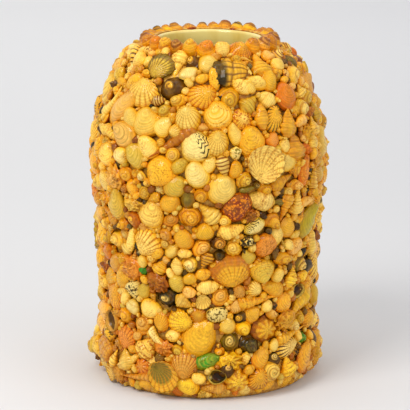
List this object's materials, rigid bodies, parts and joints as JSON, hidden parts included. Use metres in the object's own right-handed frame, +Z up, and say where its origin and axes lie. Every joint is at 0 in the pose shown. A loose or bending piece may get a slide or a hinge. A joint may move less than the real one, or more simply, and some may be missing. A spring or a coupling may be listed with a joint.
{
  "type": "shell-encrusted jar",
  "caption": "Hollow wide-mouthed jar, its outside covered from foot to lip with varnished sea shells set in putty, and a ring of small shells standing round the mouth.",
  "frame": {"origin": "middle of the jar's flat underside", "axes": "+Z up along the jar's axis, -Y towards the front"},
  "size_m": [0.2252, 0.2249, 0.3297],
  "materials": {
    "jar_glaze": "gloss",
    "putty": "gloss",
    "shell_smooth": "gloss",
    "shell_ribbed": "gloss",
    "shell_snail": "gloss",
    "shell_dark": "gloss",
    "shell_rim": "gloss"
  },
  "bodies": {
    "root": {"jar": "jar_glaze", "shell_crust": "putty", "scallop_1": "shell_ribbed", "scallop_2": "shell_ribbed", "scallop_3": "shell_ribbed", "scallop_4": "shell_ribbed", "scallop_5": "shell_ribbed", "cockle_1": "shell_ribbed", "clam_1": "shell_smooth", "clam_2": "shell_smooth", "clam_3": "shell_smooth", "clam_4": "shell_smooth", "clam_5": "shell_smooth", "clam_6": "shell_smooth", "clam_7": "shell_smooth", "cup_shell_1": "shell_smooth", "cup_shell_2": "shell_smooth", "cup_shell_3": "shell_smooth", "mussel_1": "shell_smooth", "mussel_2": "shell_smooth", "mussel_3": "shell_smooth", "limpet_1": "shell_ribbed", "limpet_2": "shell_ribbed", "limpet_3": "shell_ribbed", "limpet_4": "shell_ribbed", "moon_snail_1": "shell_snail", "moon_snail_2": "shell_snail", "moon_snail_3": "shell_snail", "top_snail_1": "shell_snail", "top_snail_2": "shell_snail", "whelk_1": "shell_snail", "whelk_2": "shell_snail", "whelk_3": "shell_snail", "murex_1": "shell_dark", "auger_1": "shell_snail", "turret_1": "shell_snail", "rim_shell_01": "shell_rim", "rim_shell_02": "shell_rim", "rim_shell_03": "shell_rim", "rim_shell_04": "shell_rim", "rim_shell_05": "shell_rim", "rim_shell_06": "shell_rim", "rim_shell_07": "shell_rim", "rim_shell_08": "shell_rim", "rim_shell_09": "shell_rim", "rim_shell_10": "shell_rim", "rim_shell_11": "shell_rim", "rim_shell_12": "shell_rim", "rim_shell_13": "shell_rim", "rim_shell_14": "shell_rim", "rim_shell_15": "shell_rim", "rim_shell_16": "shell_rim", "rim_shell_17": "shell_rim", "rim_shell_18": "shell_rim", "rim_shell_19": "shell_rim", "rim_shell_20": "shell_rim", "rim_shell_21": "shell_rim", "rim_shell_22": "shell_rim", "rim_shell_23": "shell_rim", "rim_shell_24": "shell_rim"}
  },
  "joints": []
}
